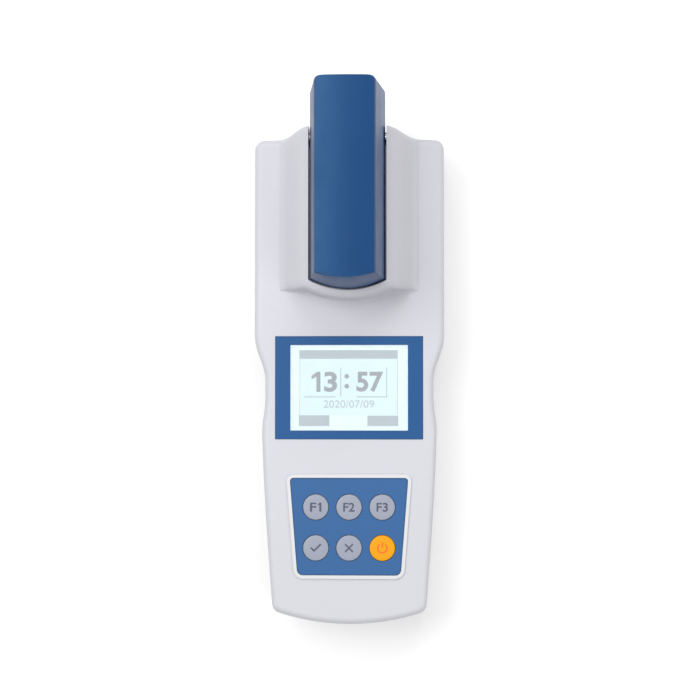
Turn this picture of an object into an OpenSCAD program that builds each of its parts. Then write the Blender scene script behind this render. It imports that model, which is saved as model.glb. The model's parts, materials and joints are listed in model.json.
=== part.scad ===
/* [Case] */
// Widest part of the case, across the shoulders
shoulder_w = 87; // [80:0.5:95]
// Width at the finger scoops
waist_w = 77.2; // [74:0.2:80]
// Width of the grip, just below the scoops
grip_w = 80.2; // [76:0.2:84]
// Width of the case at its keypad end
foot_w = 69.4; // [66:0.2:74]
// Length of the case along its middle
case_l = 224.8; // [220:0.2:235]
// Height of the face above the table
face_z = 37; // [35:0.5:40]
// Height of the joint between the two shells above the table
split_z = 19; // [17:0.5:22]
// Wall thickness of the moulded shells
wall = 2.4; // [2:0.1:2.8]
// Where the grip ends and the finger scoops begin, as a share of the case's length
grip_end = 0.391; // [0.38:0.001:0.4]
// Where the scoops are first at their deepest, as a share of the case's length
scoop_start = 0.458; // [0.44:0.001:0.47]
// Where the scoops are last at their deepest, as a share of the case's length
scoop_end = 0.494; // [0.48:0.001:0.51]
// Where the shoulders are full width, as a share of the case's length
shoulder_start = 0.583; // [0.57:0.001:0.6]
// Power of the grip's taper towards the keypad end
grip_curve = 1.35; // [1.1:0.05:1.6]
// Lean of the side walls away from the joint, in degrees
side_draft = 1; // [0.2:0.1:1.5]
// Radius of the case's outline at its corners
corner_r = 4.6; // [4.2:0.1:6]
// Radius of the round edge of the face
face_edge_r = 3; // [2:0.1:3.6]
// Radius of the round edge of the back
back_edge_r = 4; // [2:0.1:4]
// Radius of the curved keypad end
foot_arc_r = 106; // [90:1:140]
// Radius of the curved cover end at the shoulders
head_arc_r = 900; // [500:10:2000]
// Bulge of the cover end between the shoulders, where the hump meets it
head_bulge = 2.8; // [0:0.1:3.5]

/* [Hump] */
// Width of the hump at its creases
hump_w = 62.6; // [60:0.2:66]
// Height of the hump above the face
hump_h = 22; // [20:0.5:24]
// Step along the creases
crease_h = 0.7; // [0.4:0.1:1]
// Where the hump's front wall stands, as a share of the case's length
hump_start = 0.676; // [0.67:0.001:0.69]
// Radius of the round front edge of the hump
front_r = 4.1; // [3:0.1:5]
// Width of the collar in front of the cover
collar_t = 3.6; // [3:0.1:5]
// Height of the collar above the face
collar_h = 20; // [18.5:0.5:22]
// Height of the deck between the cheeks above the face
deck_rise = 18; // [16:0.1:18.4]

/* [Cover] */
// Width of the cover at its open side
cover_w = 33.6; // [32:0.2:35]
// Width of the cover's top
cover_top_w = 26; // [24:0.2:28]
// Radius of the cover's crowned top
cover_crown_r = 75; // [60:5:200]
// Slope of the cover's round front, as a share of the slope of its sides
cover_front_slope = 0.7; // [0.4:0.05:1]
// Height of the cover
cover_h = 35.4; // [34:0.2:40]
// Distance that the cover's round front stands ahead of the hump's front wall
cover_lead = 0.4; // [0:0.1:1]
// Reach of the cover past the end of the case
cover_reach = 16.3; // [14:0.1:18]
// Radius of the cover's round front
cover_arc_r = 36; // [33:0.5:42]
// Wall thickness of the cover
cover_wall = 2.2; // [1.8:0.1:2.6]
// Gap between the cover and the case around it
cover_gap = 0.6; // [0.5:0.1:1]
// Radius of the hinge pin
pin_r = 1.5; // [1.2:0.1:1.8]
// Distance of the hinge pin from the end of the case
pin_in = 5.3; // [5:0.1:6]
// Depth of the hinge pin below the cover's open side
pin_drop = 3.6; // [3.4:0.1:4]
// Radial clearance of the cover on its pin
pin_clear = 0.05; // [0.02:0.01:0.08]

/* [Sample well] */
// Radius of the bore for a 25 mm sample cell
well_r = 12.6; // [12.55:0.05:12.8]
// Depth of the well below the deck
well_depth = 44; // [42:0.5:46]
// Where the well stands between the cover's front and the hinge pin, as a share of that distance
well_share = 0.448; // [0.42:0.002:0.48]
// Wall of the cell holder at its thinnest
holder_wall = 5; // [4:0.2:6]
// Height of the light path above the well's floor
beam_rise = 12; // [10:0.5:14]
// Radius of the light path
beam_r = 2.6; // [2.55:0.05:3]

/* [Display] */
// Width of the display bezel
bezel_w = 67.2; // [64:0.2:70]
// Length of the display bezel
bezel_l = 46.8; // [44:0.2:50]
// Where the display's middle is, as a share of the case's length
display_share = 0.479; // [0.47:0.001:0.49]
// Width of the bezel's window
window_w = 53.5; // [50:0.1:56]
// Length of the bezel's window
window_l = 38.9; // [36:0.1:41]
// Height that the bezel stands proud of the face
bezel_proud = 0.3; // [0.1:0.1:0.6]

/* [Keypad] */
// Width of the keypad overlay at its wide end
overlay_w = 53.7; // [50:0.1:56]
// Width of the keypad overlay at its narrow end
overlay_foot_w = 46.8; // [44:0.1:50]
// Length of the keypad overlay
overlay_l = 44; // [42:0.1:46]
// Where the overlay's narrow end is, as a share of the case's length
overlay_start = 0.101; // [0.09:0.001:0.11]
// Thickness of the keypad overlay
overlay_t = 1; // [0.8:0.1:1.4]
// Width of the raised rim round the overlay
rim_w = 1.6; // [1.2:0.1:2]
// Height of the raised rim above the face
rim_h = 0.9; // [0.6:0.1:1.2]
// Diameter of a key
key_d = 11.5; // [10:0.1:12.5]
// Distance between the keys across the case
key_pitch_x = 15.1; // [14.5:0.1:15.5]
// Distance between the two rows of keys
key_pitch_y = 18.5; // [17:0.1:19]
// Distance from the overlay's narrow end to the lower row of keys
key_row_in = 12.3; // [11.5:0.1:13]
// Travel of a key
key_travel = 0.6; // [0.4:0.05:0.7]
// Gap round a key in its hole
key_gap = 0.25; // [0.2:0.05:0.4]

/* [Batteries] */
// Diameter of an AA cell
cell_d = 14.5; // [14:0.1:14.6]
// Length of an AA cell
cell_l = 50.5; // [49.5:0.1:51]
// Number of cells side by side
cell_count = 4; // [2:1:4]
// Thickness of the battery door
door_t = 2; // [1.6:0.1:2.4]
// Gap round the battery door
door_gap = 0.4; // [0.3:0.05:0.6]

/* [Feet and fasteners] */
// Height of the rubber feet below the back
foot_h = 1; // [0.8:0.1:1.5]
// Radius of a rubber foot
foot_r = 5; // [4:0.1:6]
// Radius of a case screw's thread
screw_r = 1.5; // [1.2:0.1:1.7]
// Gap between pieces that are laid together
fit_gap = 0.1; // [0.05:0.01:0.2]

/* [Hidden] */
$fn = 72;

// Places along the case, from its keypad end
grip_y = grip_end * case_l;
scoop_low_y = scoop_start * case_l;
scoop_high_y = scoop_end * case_l;
shoulder_y = shoulder_start * case_l;
overlay_y = overlay_start * case_l;
key_row_y = overlay_y + key_row_in;
display_y = display_share * case_l;
hump_y = hump_start * case_l;
cover_y = hump_y - cover_lead;
cover_end_y = case_l + cover_reach;
pin_y = case_l - pin_in;
well_y = mix(cover_y, pin_y, well_share);

// Heights
back_z = foot_h;
inside_z = back_z + wall;
ceiling_z = face_z - wall;
deck_z = face_z + deck_rise;
cover_seal_t = 0.5;
cover_z = deck_z + cover_seal_t + fit_gap;
cover_top_z = cover_z + cover_h;
pin_z = cover_z - pin_drop;
// Small overlap that joins the shapes of one piece
join = 0.5;
// Reach of a cut past what it cuts
past = 1;

function clamp01(t) = max(0, min(1, t));
function ease(t) = let (u = clamp01(t)) u * u * (3 - 2 * u);
function mix(a, b, t) = a + (b - a) * t;
function steps(a, b, n) = [for (i = [0:n]) mix(a, b, i / n)];
function inner(list) = [for (i = [1:len(list) - 1]) list[i]];

// Plan outline of the case: half width at a distance from the keypad end
function half_w(y) =
    y < grip_y ? mix(foot_w, grip_w, 1 - pow(1 - max(y, 0) / grip_y, grip_curve)) / 2 :
    y < scoop_low_y ? mix(grip_w, waist_w, ease((y - grip_y) / (scoop_low_y - grip_y))) / 2 :
    mix(waist_w, shoulder_w, ease((y - scoop_high_y) / (shoulder_y - scoop_high_y))) / 2;
function lean(y) = atan((half_w(y + 0.05) - half_w(y - 0.05)) / 0.1);

// Corner circles, tangent to the sides and to the curved ends
foot_slope = grip_curve * (grip_w - foot_w) / 2 / grip_y;
foot_in = foot_w / 2 - corner_r * sqrt(1 + pow(foot_slope, 2));
foot_b = foot_arc_r - foot_in * foot_slope;
foot_c = pow(foot_in, 2) + pow(foot_arc_r, 2) - pow(foot_arc_r - corner_r, 2);
foot_a = 1 + pow(foot_slope, 2);
foot_corner_y = (foot_b - sqrt(pow(foot_b, 2) - foot_a * foot_c)) / foot_a;
foot_corner = [foot_in + foot_slope * foot_corner_y, foot_corner_y];
foot_angle = atan2(foot_corner.y - foot_arc_r, foot_corner.x);
head_in = shoulder_w / 2 - corner_r;
head_cy = case_l - head_bulge - head_arc_r;
head_corner = [head_in, head_cy + sqrt(pow(head_arc_r - corner_r, 2) - pow(head_in, 2))];
head_angle = atan2(head_corner.y - head_cy, head_in);

// Cover end: an arc across the shoulders, with a bulge that follows the hump
channel_w = cover_w + 2 * cover_gap;
flank_w = (hump_w - channel_w) / 2;
function head_y(x) = head_cy + sqrt(pow(head_arc_r, 2) - pow(x, 2)) +
    head_bulge * ease((hump_w / 2 - abs(x)) / flank_w);
function head_normal(x) = unit([head_y(x - 0.05) - head_y(x + 0.05), 0.1]);
head_x = concat(steps(hump_w / 2, channel_w / 2, 6), [0]);

// Right half of the outline as points with their outward normals, then the whole
function on_arc(c, r, a) = [c.x + r * cos(a), c.y + r * sin(a), cos(a), sin(a)];
side_y = concat(
    steps(foot_corner_y, grip_y, 6),
    inner(steps(grip_y, scoop_low_y, 5)),
    inner(steps(scoop_low_y, scoop_high_y, 1)),
    inner(steps(scoop_high_y, shoulder_y, 7)),
    [head_corner.y]);
right_rim = concat(
    [for (a = steps(-90, foot_angle, 6)) on_arc([0, foot_arc_r], foot_arc_r, a)],
    inner([for (a = steps(foot_angle, -atan(foot_slope), 4)) on_arc(foot_corner, corner_r, a)]),
    inner([for (y = side_y) [half_w(y), y, cos(lean(y)), -sin(lean(y))]]),
    inner([for (a = steps(0, head_angle, 5)) on_arc(head_corner, corner_r, a)]),
    [for (x = head_x) let (n = head_normal(x)) [x, head_y(x), n.x, n.y]]);
left_rim = [for (i = [len(right_rim) - 2:-1:1]) let (p = right_rim[i]) [-p[0], p[1], -p[2], p[3]]];
rim = concat(right_rim, left_rim);
function outline(inset) = [for (p = rim) [p[0] - inset * p[2], p[1] - inset * p[3]]];

// Levels of the case's skin, from the back to the face: height and inset
function draft_in(z) = abs(z - split_z) * tan(side_draft);
function round_level(z, r, a) = [z, r * (1 - sin(a)) + draft_in(z)];
function back_level(a) = round_level(back_z + back_edge_r * (1 - cos(a)), back_edge_r, a);
function face_level(a) = round_level(face_z - face_edge_r * (1 - cos(a)), face_edge_r, a);
levels = concat(
    [for (a = steps(0, 90, 5)) back_level(a)],
    [[split_z, 0]],
    [for (a = steps(90, 0, 4)) face_level(a)]);

// Channel between the cheeks, where the cover lies
channel_r = cover_arc_r + cover_gap;
cover_cy = cover_y + cover_arc_r;
cover_mid_y = (cover_y + cover_end_y) / 2;
// Far corner of the cover's open side sweeps this radius about the pin
sweep_r = norm([cover_end_y - pin_y, pin_drop]) + cover_gap;
knuckle_r = pin_r + 2.1;
pocket_y = pin_y - knuckle_r - cover_gap;
pin_half = channel_w / 2 + 2;
boss_end = pin_half + 0.9;

// Hump: height above the face at a place across it, and where its front begins
function hump_at(x) = let (u = (hump_w / 2 - abs(x)) / flank_w)
    u > 1 ? mix(collar_h, hump_h, ease(abs(x) / channel_w * 2)) :
    mix(crease_h, hump_h, 0.8 * ease(u) + 0.2 * u);
collar_r = channel_r + collar_t;
function front_y(x) = abs(x) < collar_r ?
    min(hump_y, cover_cy - sqrt(pow(collar_r, 2) - pow(x, 2))) : hump_y;
hump_toe = 1.4;
hump_toe_h = 1.2;
hump_round = 2.5;
function round_off(e) = hump_round - sqrt(pow(hump_round, 2) - pow(hump_round - e, 2));
// Depth of the hump's first row below the face, so that its foot is cut cleanly
hump_dip = 0.05;
// Front of the hump at height h, from its foot inwards: a small fillet, a steep wall and a round edge
function front_row(h) = let (r = min(front_r, 0.8 * h), m = min(hump_toe_h, (h - r) / 2)) concat(
    [[-hump_toe, -hump_dip], [-0.5 * hump_toe, 0.3 * m], [-0.1 * hump_toe, m]],
    [for (a = steps(0, 90, 5)) [front_r * (1 - cos(a)), h - r + r * sin(a)]]);
hump_x = concat(
    steps(-hump_w / 2, -channel_w / 2, 9),
    inner(steps(-channel_w / 2, channel_w / 2, 10)),
    inner(steps(channel_w / 2, hump_w / 2, 9)));
// Rows of the hump at the far end, e short of the end wall
hump_end_in = draft_in(face_z) + 0.02;
hump_rows_e = [for (a = steps(0, 90, 4)) hump_round * (1 - sin(a))];

// Display stack, from the bezel down to the main board
bezel_t = 1 + bezel_proud;
bezel_z = face_z + bezel_proud - bezel_t;
pane_w = window_w + 2.5;
pane_l = window_l + 2.5;
frame_w = pane_w + 2.6;
frame_l = pane_l + 2.6;
frame_h = 6;
frame_t = 0.4;
board_t = 1.6;
board_top = ceiling_z - 0.05 - frame_h - fit_gap;
board_low = board_top - board_t;
board_w = 55;
board_y0 = display_y - 30.2;
board_y1 = display_y + 30.3;
board_holes = [for (x = [-22, 22], y = [board_y0 + 3, board_y1 - 3.5]) [x, y]];

// Small screws: shank, head, the boss that each is driven into, and what a hole adds to the shank
small_r = 1;
small_head_r = 2;
small_head_h = 1.3;
boss_r = 2.4;
hold = 0.02;
loose = 0.2;

// Keypad stack, from the overlay down to the keypad board
overlay_z = face_z + 0.4 - overlay_t;
overlay_points = [[-overlay_foot_w / 2, overlay_y], [overlay_foot_w / 2, overlay_y],
    [overlay_w / 2, overlay_y + overlay_l], [-overlay_w / 2, overlay_y + overlay_l]];
overlay_radii = [2.6, 2.6, 1.5, 1.5];
key_x = [-key_pitch_x, 0, key_pitch_x];
key_high_y = key_row_y + key_pitch_y;
key_top_z = face_z + 0.9;
flange_r = key_d / 2 + 1.15;
flange_t = 1;
flange_z = overlay_z - 0.05 - flange_t;
keypad_board_top = ceiling_z - 2;
dome_h = 0.6;
stem_z = keypad_board_top + dome_h + key_travel + 0.2;
stem_r = 2;
key_edge = 0.4;
keypad_board_low = keypad_board_top - board_t;
keypad_mid_y = key_row_y + key_pitch_y / 2;
keypad_board_w = 52;
keypad_board_l = key_pitch_y + 28;
keypad_screw_at = concat(
    [for (side = [-1.5, 1.5]) [side * key_pitch_x, keypad_mid_y]],
    [for (side = [-1, 1]) [0, keypad_mid_y + side * (keypad_board_l / 2 - 3)]]);

// Cell holder, hung from the deck
holder_w = 2 * (well_r + holder_wall) + 0.8;
well_z = deck_z - well_depth;
holder_z = well_z - 3;
holder_body_top = ceiling_z - 0.2;
ear_top = deck_z - wall - 3;
ear_t = 4;
ear_in = holder_w / 2 + small_head_r + 0.3;
ear_x = channel_w / 2 - 6;
holder_ears = [for (x = [-ear_x, ear_x], y = [-ear_in, ear_in]) [x, well_y + y]];
neck_r = well_r + 1.6;
beam_z = well_z + beam_rise;
optic_r = 4;
optic_x = well_r + 1.4;
// Lamp and detector boards, whose tops are level with the holder's body
optics_l = 22;
optics_z = holder_body_top - optics_l / 2;
optic_screws = [for (y = [-6.5, 6.5]) [well_y + y, optics_z + optics_l / 2 - 2.5]];

// Battery bay
cell_pitch = cell_d + 0.3;
bay_w = cell_count * cell_pitch + 0.4;
bay_y0 = 17;
spring_l = 6.4;
contact_t = 0.5;
bay_l = cell_l + spring_l + 2 * contact_t + 0.3;
bay_y1 = bay_y0 + bay_l;
tray_t = 1.2;
cell_z = back_z + door_t + 0.3 + cell_d / 2;
tray_top = cell_z + cell_d / 2 + 0.4 + tray_t;
rib_t = 1.4;
rib_top = inside_z + rib_t;
door_half = bay_w / 2 - 0.4;
opening_half = door_half + door_gap;
tongue = 1;
rib_half = door_half + tongue + 1.8;
door_end_y = bay_y1 + 0.6;
nub_r = 2.75;
nub_l = 1.2;

// Case screws, feet and seal
grip_screw_y = bay_y1 + 20.8;
head_screw = [shoulder_w / 2 - 6.5, case_l - 18.8];
grip_screw = [half_w(grip_screw_y) - 6.1, grip_screw_y];
case_screw_at = [for (side = [-1, 1], p = [head_screw, grip_screw]) [side * p.x, p.y]];
column_r = 3;
head_r = 2.8;
head_h = 2;
head_z = back_z + 3;
foot_in_depth = 0.6;
case_foot_at = [for (side = [-1, 1]) [side * (shoulder_w / 2 - 16.5), case_l - 24.8]];
door_foot_at = [for (side = [-1, 1]) [side * (foot_w / 2 - 15.7), 12.5]];
// Shadow line round the joint of the shells, and the seal inside it
line_h = 0.6;
line_in = 0.4;
seal_w = 0.9;
seal_h = 1;
seal_in = (wall + line_in - seal_w) / 2;

case_color = "#D6D7DE";
cover_color = "#2E5A88";
bezel_color = "#3B6296";
overlay_color = "#4872A8";
key_color = "#9BA2B4";
power_color = "#FDB528";
board_color = "#1F5B3A";
black = "#202226";
steel = "#B8BCC2";

// Shared helpers
module centred() translate([0, -cover_end_y / 2, 0]) children();
module at_each(list) for (p = list) translate([p.x, p.y, 0]) children();
module both_sides() for (side = [0, 1]) mirror([side, 0, 0]) children();
module disc(r, z0, z1) translate([0, 0, z0]) cylinder(r = r, h = z1 - z0);
module slab(w, l, z0, z1) translate([-w / 2, -l / 2, z0]) cube([w, l, z1 - z0]);
module along_x(r, x0, x1) translate([x0, 0, 0]) rotate([0, 90, 0]) cylinder(r = r, h = x1 - x0);
module rounded_slab(w, l, r, z0, z1) translate([0, 0, z0]) linear_extrude(z1 - z0) {
    square([w - 2 * r, l], center = true);
    square([w, l - 2 * r], center = true);
    for (x = [-1, 1], y = [-1, 1]) translate([x * (w / 2 - r), y * (l / 2 - r)]) circle(r);
}

// Rounded polygon: corners in counterclockwise order, each with its own radius
function heading(a, b) = atan2(b.y - a.y, b.x - a.x);
function unit(v) = v / norm(v);
function corner_arc(a, p, b, r) =
    let (u = unit(a - p), v = unit(b - p), half = acos(u * v) / 2,
        c = p + unit(u + v) * r / sin(half),
        start = heading(a, p) - 90, turn = 180 - 2 * half)
    [for (t = steps(start, start + turn, 6)) c + r * [cos(t), sin(t)]];
function rounded(corners, radii) = let (n = len(corners)) [for (i = [0:n - 1])
    let (a = corners[(i + n - 1) % n], b = corners[(i + 1) % n])
    for (q = corner_arc(a, corners[i], b, radii[i])) q];
// A corner moved out by d along both of its edges' normals
function grown(corners, d) = let (n = len(corners)) [for (i = [0:n - 1])
    let (a = corners[(i + n - 1) % n], p = corners[i], b = corners[(i + 1) % n],
        u = unit(a - p), v = unit(b - p), half = acos(u * v) / 2)
    p - unit(u + v) * d / sin(half)];
module overlay_prism(d, z0, z1) translate([0, 0, z0]) linear_extrude(z1 - z0)
    polygon(rounded(grown(overlay_points, d), [for (r = overlay_radii) max(r + d, 0.4)]));

// Case skin: the outline lofted through the levels, with a middle point in each end
module case_form() {
    n = len(rim);
    last = (len(levels) - 1) * n;
    ends = len(levels) * n;
    polyhedron(
        points = concat(
            [for (l = levels, p = outline(l[1])) [p.x, p.y, l[0]]],
            [[0, case_l / 2, levels[0][0]], [0, case_l / 2, levels[len(levels) - 1][0]]]),
        faces = concat(
            [for (i = [0:n - 1]) [i, (i + 1) % n, ends]],
            [for (k = [0:len(levels) - 2], i = [0:n - 1]) let (j = (i + 1) % n)
                [k * n + i, (k + 1) * n + i, (k + 1) * n + j]],
            [for (k = [0:len(levels) - 2], i = [0:n - 1]) let (j = (i + 1) % n)
                [k * n + i, (k + 1) * n + j, k * n + j]],
            [for (i = [0:n - 1]) [last + (i + 1) % n, last + i, ends + 1]]));
}
module above(z) translate([-case_l, -case_l, z]) cube([2 * case_l, 3 * case_l, 2 * face_z]);
module below(z) above(z - 2 * face_z);
module outline_prism(inset, z0, z1) translate([0, 0, z0]) linear_extrude(z1 - z0)
    polygon(outline(inset));
module ring(inset, inner_inset, z0, z1) difference() {
    outline_prism(inset, z0, z1);
    outline_prism(inner_inset, z0 - past, z1 + past);
}

// Hump: one smooth surface over the face, on a flat base inside it
function hump_row(x) = concat(
    [for (q = front_row(hump_at(x))) [front_y(x) + q[0], q[1]]],
    [for (e = hump_rows_e) [head_y(x) - hump_end_in - e, hump_at(x) - round_off(e)]]);
module hump() {
    base_z = face_z - face_edge_r - 0.6;
    rows = len(hump_row(0));
    cols = len(hump_x);
    grid = [for (x = hump_x, q = hump_row(x)) [x, q[0], face_z + q[1]]];
    edge = concat(
        [for (i = [0:cols - 1]) i * rows],
        [for (j = [1:rows - 1]) (cols - 1) * rows + j],
        [for (i = [cols - 2:-1:0]) i * rows + rows - 1],
        [for (j = [rows - 2:-1:1]) j]);
    n = len(edge);
    low = cols * rows;
    polyhedron(
        points = concat(
            grid,
            [for (k = edge) [grid[k].x, grid[k].y, base_z]],
            [[0, cover_mid_y, base_z]]),
        faces = concat(
            [for (i = [0:cols - 2], j = [0:rows - 2]) let (a = i * rows + j) [a, a + 1, a + rows + 1]],
            [for (i = [0:cols - 2], j = [0:rows - 2]) let (a = i * rows + j) [a, a + rows + 1, a + rows]],
            [for (k = [0:n - 1]) let (m = (k + 1) % n) [edge[k], edge[m], low + m]],
            [for (k = [0:n - 1]) let (m = (k + 1) % n) [edge[k], low + m, low + k]],
            [for (k = [0:n - 1]) [low + k, low + (k + 1) % n, low + n]]));
}
// Hollows inside the two cheeks, following the hump's curve a wall below it
module cheek_hollow() {
    xs = steps(channel_w / 2 + wall, hump_w / 2 - 3.5, 6);
    top = [for (x = xs) [x, face_z + max(hump_at(x) - 1.3 * wall, 0)]];
    y0 = hump_y + front_r + wall;
    y1 = head_y(hump_w / 2) - wall - 0.6;
    both_sides() translate([0, y1, 0]) rotate([90, 0, 0]) linear_extrude(y1 - y0)
        polygon(concat([[xs[0], ceiling_z - join]], top, [[xs[len(xs) - 1], ceiling_z - join]]));
}

// Outline shared by the channel, the cover and its seal: straight sides and a round front
module cover_outline(half, r, y1) intersection() {
    translate([-half, cover_cy - r]) square([2 * half, y1 - cover_cy + r]);
    union() {
        translate([0, cover_cy]) circle(r, $fn = 160);
        translate([-half, cover_cy - r / 2]) square([2 * half, y1 - cover_cy + r / 2]);
    }
}
// Slot for the cover's lugs, and the pocket in the end wall that its overhang swings into
module pocket(t) {
    half = channel_w / 2 + t;
    slot_z = pin_z - knuckle_r - cover_gap - t;
    translate([-half, pocket_y - t, slot_z]) cube([2 * half, case_l, deck_z + past - slot_z]);
    intersection() {
        translate([0, pin_y, pin_z]) along_x(sweep_r + t, -half, half);
        translate([-half, pin_y + pin_drop - cover_gap - t, 0]) cube([2 * half, case_l, pin_z]);
    }
}

// Screw boss with a blind hole that stops short of its top
module column(r, hole_r, z0, z1, stop) difference() {
    disc(r, z0, z1);
    disc(hole_r, z0 - past, z1 - stop);
}
module front_shell() color(case_color) centred() {
    difference() {
        union() {
            difference() {
                union() {
                    intersection() { case_form(); above(split_z); }
                    hump();
                    overlay_prism(rim_w, face_z - join, face_z + rim_h);
                }
                difference() {
                    union() {
                        outline_prism(wall, split_z - past, ceiling_z);
                        translate([0, 0, ceiling_z - join]) linear_extrude(deck_z - wall - ceiling_z + join)
                            cover_outline(channel_w / 2, collar_r - wall, pocket_y - wall);
                        cheek_hollow();
                    }
                    pocket(wall);
                }
                translate([0, 0, deck_z]) linear_extrude(face_z)
                    cover_outline(channel_w / 2, channel_r, cover_end_y);
                pocket(0);
                disc_at_well(neck_r + fit_gap, deck_z - wall - past, deck_z + past);
            }
            both_sides() translate([0, pin_y, pin_z])
                along_x(knuckle_r, channel_w / 2, boss_end);
        }
        translate([0, pin_y, pin_z]) along_x(pin_r + hold, -pin_half - fit_gap, pin_half + fit_gap);
        translate([0, display_y, 0]) {
            slab(bezel_w + 2 * fit_gap, bezel_l + 2 * fit_gap, bezel_z, face_z + past);
            slab(pane_w + 2 * fit_gap, pane_l + 2 * fit_gap, ceiling_z - past, face_z);
        }
        overlay_prism(fit_gap, overlay_z, face_z + rim_h + past);
        for (x = key_x, y = [key_row_y, key_high_y]) translate([x, y, 0])
            disc(flange_r + key_gap, ceiling_z - past, face_z);
    }
    at_each(case_screw_at) column(column_r, screw_r + hold, split_z + 0.2, ceiling_z + join, wall);
    at_each(board_holes) column(boss_r, small_r + hold, board_top, ceiling_z + join, wall);
    at_each(keypad_screw_at) column(boss_r, small_r + hold, keypad_board_top, ceiling_z + join, join + 0.1);
    at_each(holder_ears) column(boss_r, small_r + hold, ear_top, deck_z - wall + join, join + 0.1);
}
module disc_at_well(r, z0, z1) translate([0, well_y, 0]) disc(r, z0, z1);

module rear_shell() color(case_color) centred() difference() {
    union() {
        difference() {
            intersection() { case_form(); below(split_z); }
            outline_prism(wall, inside_z, split_z + past);
        }
        // Ribs over the door's rails, and the shelf at the keypad end
        intersection() {
            outline_prism(wall / 2, inside_z - join, rib_top);
            difference() {
                translate([-rib_half, 0, 0]) cube([2 * rib_half, bay_y1 + 3, face_z]);
                translate([-opening_half, bay_y0, 0]) cube([2 * opening_half, case_l, face_z]);
            }
        }
        at_each(case_screw_at) disc(column_r + 1.2, inside_z - join, split_z);
    }
    ring(-past, line_in, split_z - line_h, split_z + past);
    ring(seal_in - 0.05, seal_in + seal_w + 0.05, split_z - seal_h - 0.05, split_z + past);
    // Door opening, with a groove for the door's tongues and the bay above it
    door_shape(door_gap, door_gap, 0.1);
    translate([0, (bay_y0 + bay_y1) / 2, 0]) slab(bay_w, bay_l, back_z, inside_z + past);
    at_each(case_screw_at) {
        disc(head_r + 0.2, back_z - past, head_z + head_h);
        disc(screw_r + loose, back_z, split_z + past);
    }
    at_each(case_foot_at) disc(foot_r + fit_gap, back_z - past, back_z + foot_in_depth);
}
// Door plate with a tongue along each side, grown by the gaps given
module door_shape(side_gap, end_gap, top_gap) {
    translate([-door_half - side_gap, -past, -past])
        cube([2 * (door_half + side_gap), door_end_y + end_gap + past, back_z + door_t + top_gap + past]);
    translate([-door_half - tongue - side_gap, -past, back_z + 1.2 - top_gap])
        cube([2 * (door_half + tongue + side_gap), door_end_y + end_gap + past, door_t - 1.2 + 2 * top_gap]);
}
module battery_door() color(case_color) centred() difference() {
    intersection() { case_form(); door_shape(0, 0, 0); }
    at_each(door_foot_at) disc(foot_r + fit_gap, back_z - past, back_z + foot_in_depth);
    for (i = [0:4]) translate([0, 24 + 2.2 * i, 0]) slab(24, 1, back_z - past, back_z + 0.5);
}
module case_seal() color(black) centred() ring(seal_in, seal_in + seal_w, split_z - seal_h, split_z);

// Cover: a tapered hood, hollowed out, with a round front and knuckles on the pin
cover_taper = (cover_w - cover_top_w) / 2;
cover_corner_r = 2.3;
cover_edge = 0.8;
sliver = 0.01;
// Thin layer of the cover at height z, a distance t in from its skin, where its sides lean in by taper
module cover_layer(t, taper, z) {
    half = cover_w / 2 - t - taper;
    r = cover_corner_r;
    translate([0, 0, z - sliver]) linear_extrude(sliver) intersection() {
        cover_outline(half, cover_arc_r - t - cover_front_slope * taper, cover_end_y);
        union() {
            translate([-half, cover_y]) square([2 * half, cover_end_y - r - cover_y]);
            translate([r - half, cover_y]) square([2 * (half - r), cover_end_y - cover_y]);
            for (x = [r - half, half - r]) translate([x, cover_end_y - r]) circle(r, $fn = 32);
        }
    }
}
lug_out = cover_w / 2 - 0.3;
lug_in = lug_out - cover_wall - 0.8;
function taper_at(z) = cover_taper * (z - cover_z) / cover_h;
// How far the crowned top has fallen at a distance x from its middle
function crown_drop(x) = cover_crown_r - sqrt(pow(cover_crown_r, 2) - pow(x, 2));
crown_x = steps(cover_top_w / 2 - cover_edge / 2, cover_top_w / 14, 3);
wall_top_z = cover_top_z - crown_drop(cover_top_w / 2) - cover_edge;
module cover_hood() hull() {
    cover_layer(0, 0, cover_z + sliver);
    cover_layer(0, taper_at(wall_top_z), wall_top_z);
    for (x = crown_x) intersection() {
        cover_layer(cover_edge / 2, cover_taper, cover_top_z - crown_drop(x));
        translate([-x, cover_y, cover_z]) cube([2 * x, cover_end_y - cover_y, 2 * cover_h]);
    }
}
// Inside of the hood, or of what lines it, a distance t in from its skin
module cover_inside(t, y1) intersection() {
    top_z = cover_top_z - crown_drop(cover_top_w / 2) - t;
    hull() {
        cover_layer(t, taper_at(cover_z - past), cover_z - past);
        cover_layer(t, taper_at(top_z), top_z);
    }
    translate([-cover_w, 0, 0]) cube([2 * cover_w, y1, 2 * cover_top_z]);
}
module light_cover() color(cover_color) centred() difference() {
    union() {
        difference() {
            cover_hood();
            cover_inside(cover_wall, cover_end_y - cover_wall);
        }
        // Floor under the overhang
        intersection() {
            cover_hood();
            translate([-cover_w, case_l, cover_z]) cube([2 * cover_w, case_l, cover_wall]);
        }
        both_sides() translate([0, pin_y, pin_z]) {
            along_x(knuckle_r, lug_in, lug_out);
            translate([lug_in, -knuckle_r, 0]) cube([lug_out - lug_in, 2 * knuckle_r, pin_drop + cover_wall]);
        }
    }
    translate([0, pin_y, pin_z]) along_x(pin_r + pin_clear, -cover_w, cover_w);
}
liner_end_y = well_y + 24;
liner_t = 1.2;
module cover_liner() color(black) centred() difference() {
    intersection() {
        cover_inside(cover_wall + fit_gap, liner_end_y);
        translate([-cover_w, 0, cover_z + 1]) cube([2 * cover_w, case_l, cover_h]);
    }
    cover_inside(cover_wall + fit_gap + liner_t, liner_end_y - liner_t);
}
module cover_seal() color(black) centred() translate([0, 0, deck_z]) linear_extrude(cover_seal_t)
    difference() {
        cover_outline(cover_w / 2, cover_arc_r, pocket_y - 1);
        cover_outline(cover_w / 2 - cover_wall, cover_arc_r - cover_wall, cover_end_y);
    }
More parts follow.
